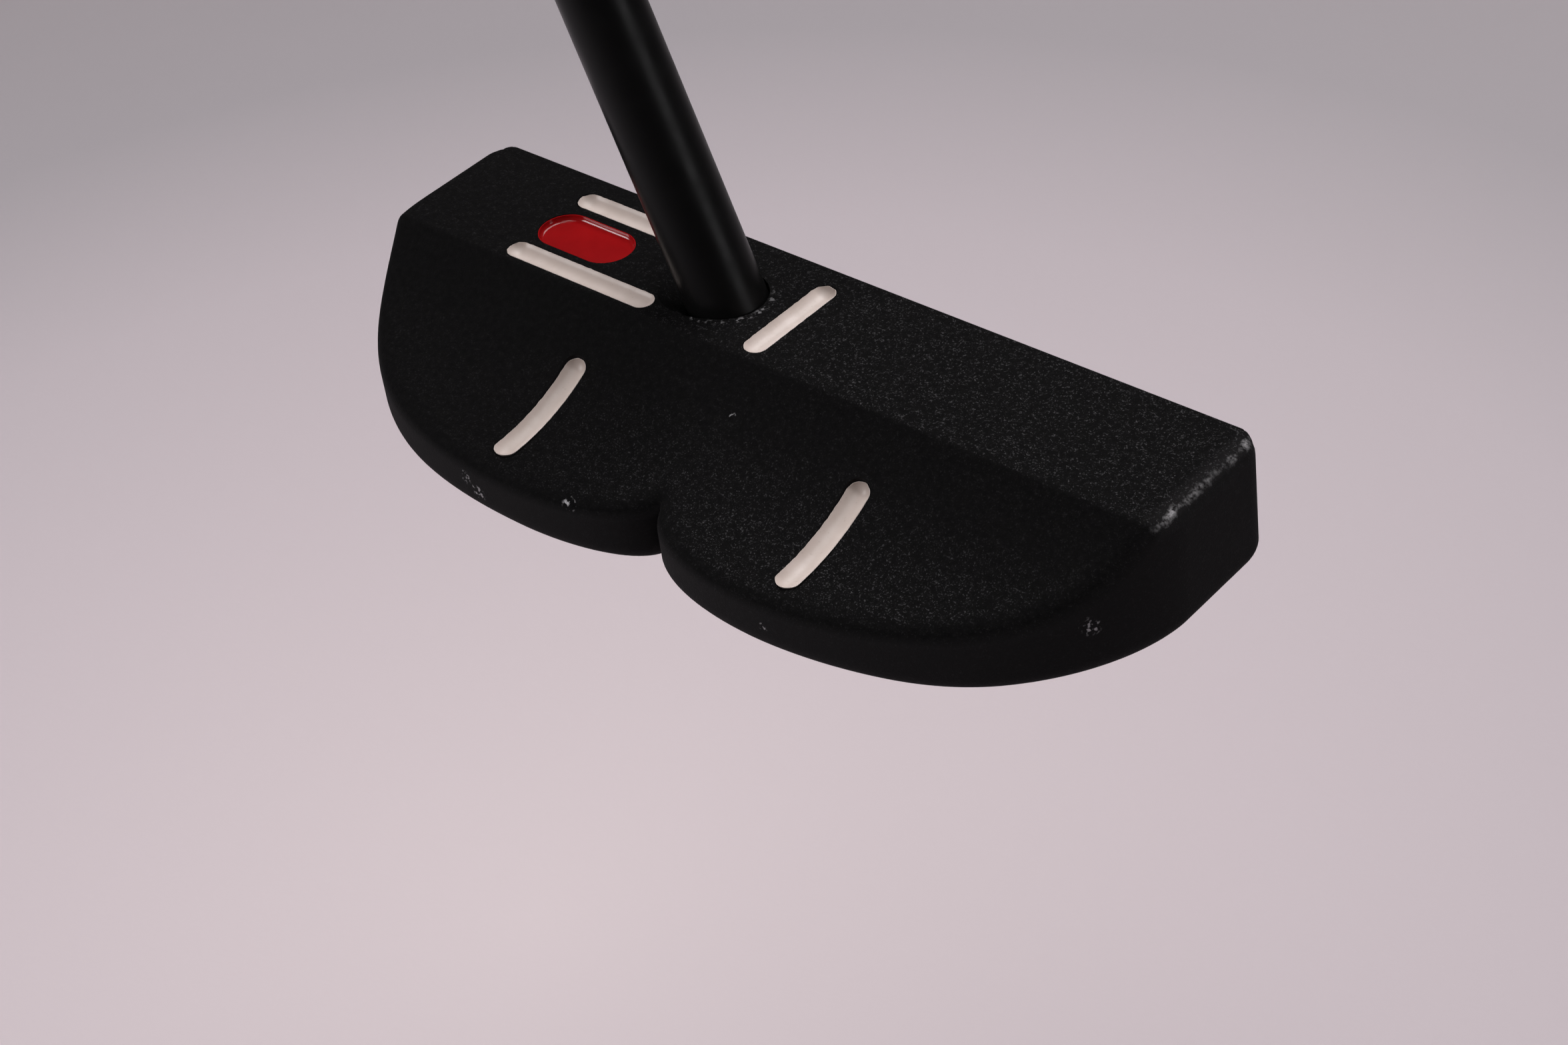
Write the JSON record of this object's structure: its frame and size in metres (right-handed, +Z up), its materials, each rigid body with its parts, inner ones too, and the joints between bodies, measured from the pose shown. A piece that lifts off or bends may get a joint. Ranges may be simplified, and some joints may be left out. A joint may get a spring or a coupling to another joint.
{
  "type": "mallet putter",
  "caption": "Golf putter with a two-lobed mallet head, scooped flange, centred shaft leaning towards the heel, filled sight lines and a flat-fronted rubber grip.",
  "frame": {"origin": "on the flat of the sole, below the middle of the head", "axes": "+X from heel to toe, +Y the way the face looks, +Z up; the shaft leans towards -X"},
  "size_m": [0.3674, 0.0437, 0.815],
  "materials": {
    "black_coat": "fine-grained matt black coating over blasted steel, worn bright on the toe edge",
    "black_shaft_coat": "smooth satin black",
    "white_paint": "warm white enamel fill, satin",
    "red_enamel": "deep red enamel fill, glossy",
    "black_anodised": "black anodised",
    "bare_steel": "turned stainless steel",
    "adhesive": "cured adhesive",
    "plug_rubber": "moulded rubber",
    "grip_rubber": "matt moulded rubber with a fine pattern",
    "grip_tape": "double-sided paper tape",
    "cap_plastic": "moulded plastic"
  },
  "bodies": {
    "root": {"head_body": "black_coat", "sole_plate": "black_anodised", "sole_bond": "adhesive", "sole_screw_1": "bare_steel", "sole_screw_2": "bare_steel", "sole_screw_3": "bare_steel", "sole_screw_4": "bare_steel", "sole_weight_heel": "bare_steel", "sole_weight_toe": "bare_steel", "sight_line_front": "white_paint", "sight_line_rear": "white_paint", "aim_line_band": "white_paint", "aim_line_heel_lobe": "white_paint", "aim_line_toe_lobe": "white_paint", "sight_dot": "red_enamel", "shaft": "black_shaft_coat", "shaft_epoxy": "adhesive", "shaft_tip_plug": "plug_rubber", "grip": "grip_rubber", "grip_tape": "grip_tape", "grip_cap": "cap_plastic"}
  },
  "joints": []
}
